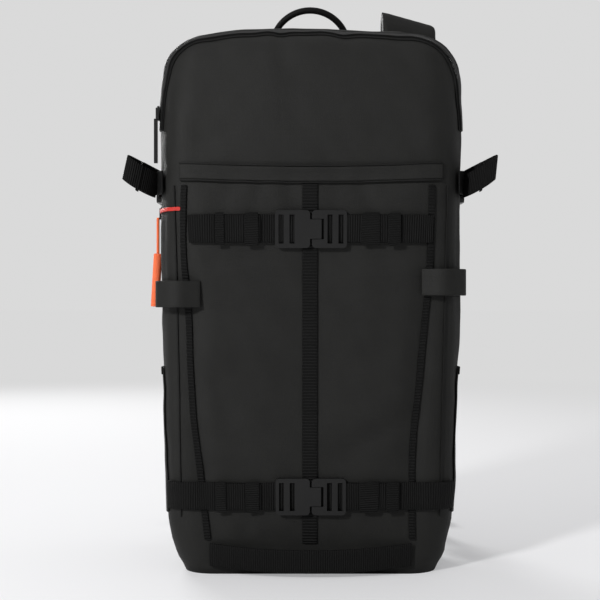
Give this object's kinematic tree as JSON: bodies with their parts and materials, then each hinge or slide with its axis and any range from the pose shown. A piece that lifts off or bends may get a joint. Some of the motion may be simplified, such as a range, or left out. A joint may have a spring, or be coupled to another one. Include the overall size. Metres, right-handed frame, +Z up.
{
  "type": "ski touring backpack",
  "caption": "Upright black ski touring backpack with a separate snow-safety compartment, shoulder harness, hip belt and strap buckles.",
  "frame": {"origin": "on the floor, under the middle of the bag", "axes": "+Z up, -Y towards the outer face, +Y towards the wearer's back"},
  "size_m": [0.3772, 0.3462, 0.6187],
  "materials": {
    "coated_fabric": "black coated ripstop nylon with a slight sheen",
    "lining": "dark grey woven lining",
    "stretch_fabric": "matt black stretch woven",
    "frame_plastic": "black polyethylene sheet",
    "aluminium_stay": "satin",
    "zip_tape": "black coil zip tape",
    "webbing": "ribbed black webbing",
    "buckle_plastic": "black moulded acetal, slightly glossy",
    "grey_plastic": "dark grey moulded acetal",
    "slider_metal": "black painted die-cast metal",
    "orange_cord": "orange braided cord",
    "orange_tube": "orange flexible tube",
    "padding": "black air mesh over foam"
  },
  "bodies": {
    "bag": {"bottom_panel": "coated_fabric", "rear_gusset": "coated_fabric", "middle_gusset": "coated_fabric", "top_pocket": "coated_fabric", "front_panel": "coated_fabric", "front_gusset_left": "coated_fabric", "front_gusset_right": "coated_fabric", "welt_band": "coated_fabric", "pocket_lining": "lining", "compartment_divider": "lining", "gear_sleeve": "lining", "frame_sheet": "frame_plastic", "frame_stay": "aluminium_stay", "bladder_sleeve": "lining", "main_zip": "zip_tape", "gear_zip": "zip_tape", "pocket_zip": "zip_tape", "daisy_strip": "webbing", "seam_webbing": "webbing", "side_pockets": "stretch_fabric", "ski_loops": "coated_fabric", "bottom_loop": "webbing", "upper_strap": "webbing", "upper_frame": "buckle_plastic", "lower_strap": "webbing", "lower_frame": "buckle_plastic", "compression_straps": "webbing", "side_frames": "buckle_plastic", "back_panel": "padding", "shoulder_strap_left": "padding", "shoulder_strap_right": "padding", "load_lifters": "webbing", "adjust_webbing_left": "webbing", "adjust_webbing_right": "webbing"},
    "handle": {"grab_handle": "webbing"},
    "upper_front_hook": {"upper_hook": "buckle_plastic"},
    "lower_front_hook": {"lower_hook": "buckle_plastic"},
    "compression_hook_left": {"side_hook_left": "buckle_plastic"},
    "compression_hook_right": {"side_hook_right": "buckle_plastic"},
    "main_zip_slider": {"main_slider": "slider_metal"},
    "pocket_zip_slider": {"pocket_slider": "slider_metal"},
    "gear_zip_slider": {"gear_slider": "slider_metal"},
    "orange_pull": {"pull_cord": "orange_cord", "pull_tube": "orange_tube"},
    "lock_left": {"ladder_lock_left": "buckle_plastic"},
    "lock_right": {"ladder_lock_right": "buckle_plastic"},
    "chest_clip_left": {"sternum_clip_left": "buckle_plastic"},
    "chest_strap_left": {"sternum_webbing_left": "webbing", "sternum_plug": "buckle_plastic"},
    "chest_clip_right": {"sternum_clip_right": "buckle_plastic"},
    "chest_strap_right": {"sternum_webbing_right": "webbing", "sternum_socket": "buckle_plastic"},
    "hip_left": {"hip_wing_left": "padding", "hip_webbing_left": "webbing", "hip_plug": "buckle_plastic", "hip_roll_left": "webbing"},
    "hip_right": {"hip_wing_right": "padding", "hip_webbing_right": "webbing", "hip_socket": "grey_plastic", "hip_roll_right": "webbing"}
  },
  "joints": [
    {"name": "handle_fold", "type": "hinge", "parent": "bag", "child": "handle", "pos_m": [0, 0.026, 0.5641], "axis": [1, 0, 0], "range_deg": [-45, 30]},
    {"name": "upper_buckle_release", "type": "slide", "parent": "bag", "child": "upper_front_hook", "axis": [-1, 0, 0], "range_m": [0, 0.01]},
    {"name": "lower_buckle_release", "type": "slide", "parent": "bag", "child": "lower_front_hook", "axis": [-1, 0, 0], "range_m": [0, 0.01]},
    {"name": "side_buckle_release_left", "type": "slide", "parent": "bag", "child": "compression_hook_left", "axis": [0, -1, 0], "range_m": [0, 0.008]},
    {"name": "side_buckle_release_right", "type": "slide", "parent": "bag", "child": "compression_hook_right", "axis": [0, -1, 0], "range_m": [0, 0.008]},
    {"name": "main_zip_travel", "type": "slide", "parent": "bag", "child": "main_zip_slider", "axis": [1, 0, 0], "range_m": [-0.055, 0.12]},
    {"name": "pocket_zip_travel", "type": "slide", "parent": "bag", "child": "pocket_zip_slider", "axis": [0, 0, 1], "range_m": [-0.008, 0.034]},
    {"name": "gear_zip_travel", "type": "slide", "parent": "bag", "child": "gear_zip_slider", "axis": [0, 0, 1], "range_m": [-0.15, 0]},
    {"name": "pull_swing", "type": "hinge", "parent": "gear_zip_slider", "child": "orange_pull", "pos_m": [-0.1611, -0.024, 0.3702], "axis": [1, 0, 0], "range_deg": [-6, 70]},
    {"name": "lock_tilt_left", "type": "hinge", "parent": "bag", "child": "lock_left", "pos_m": [0.143, 0.11, 0.2025], "axis": [1, 0, 0], "range_deg": [-12, 12]},
    {"name": "lock_tilt_right", "type": "hinge", "parent": "bag", "child": "lock_right", "pos_m": [-0.143, 0.11, 0.1695], "axis": [1, 0, 0], "range_deg": [-12, 12]},
    {"name": "chest_height_left", "type": "slide", "parent": "bag", "child": "chest_clip_left", "axis": [0, 0, 1], "range_m": [-0.015, 0.015]},
    {"name": "chest_height_right", "type": "slide", "parent": "bag", "child": "chest_clip_right", "axis": [0, 0, 1], "range_m": [-0.015, 0.015]},
    {"name": "chest_swing_left", "type": "hinge", "parent": "chest_clip_left", "child": "chest_strap_left", "pos_m": [0.048, 0.13, 0.369], "axis": [0, 1, 0], "range_deg": [-40, 6]},
    {"name": "chest_swing_right", "type": "hinge", "parent": "chest_clip_right", "child": "chest_strap_right", "pos_m": [-0.054, 0.13, 0.308], "axis": [0, 1, 0], "range_deg": [-10, 30]},
    {"name": "hip_fold_left", "type": "hinge", "parent": "bag", "child": "hip_left", "pos_m": [0.1498, 0.064, 0.06], "axis": [0, 0, 1], "range_deg": [-60, 0]},
    {"name": "hip_fold_right", "type": "hinge", "parent": "bag", "child": "hip_right", "pos_m": [-0.1498, 0.064, 0.06], "axis": [0, 0, 1], "range_deg": [0, 60]}
  ]
}
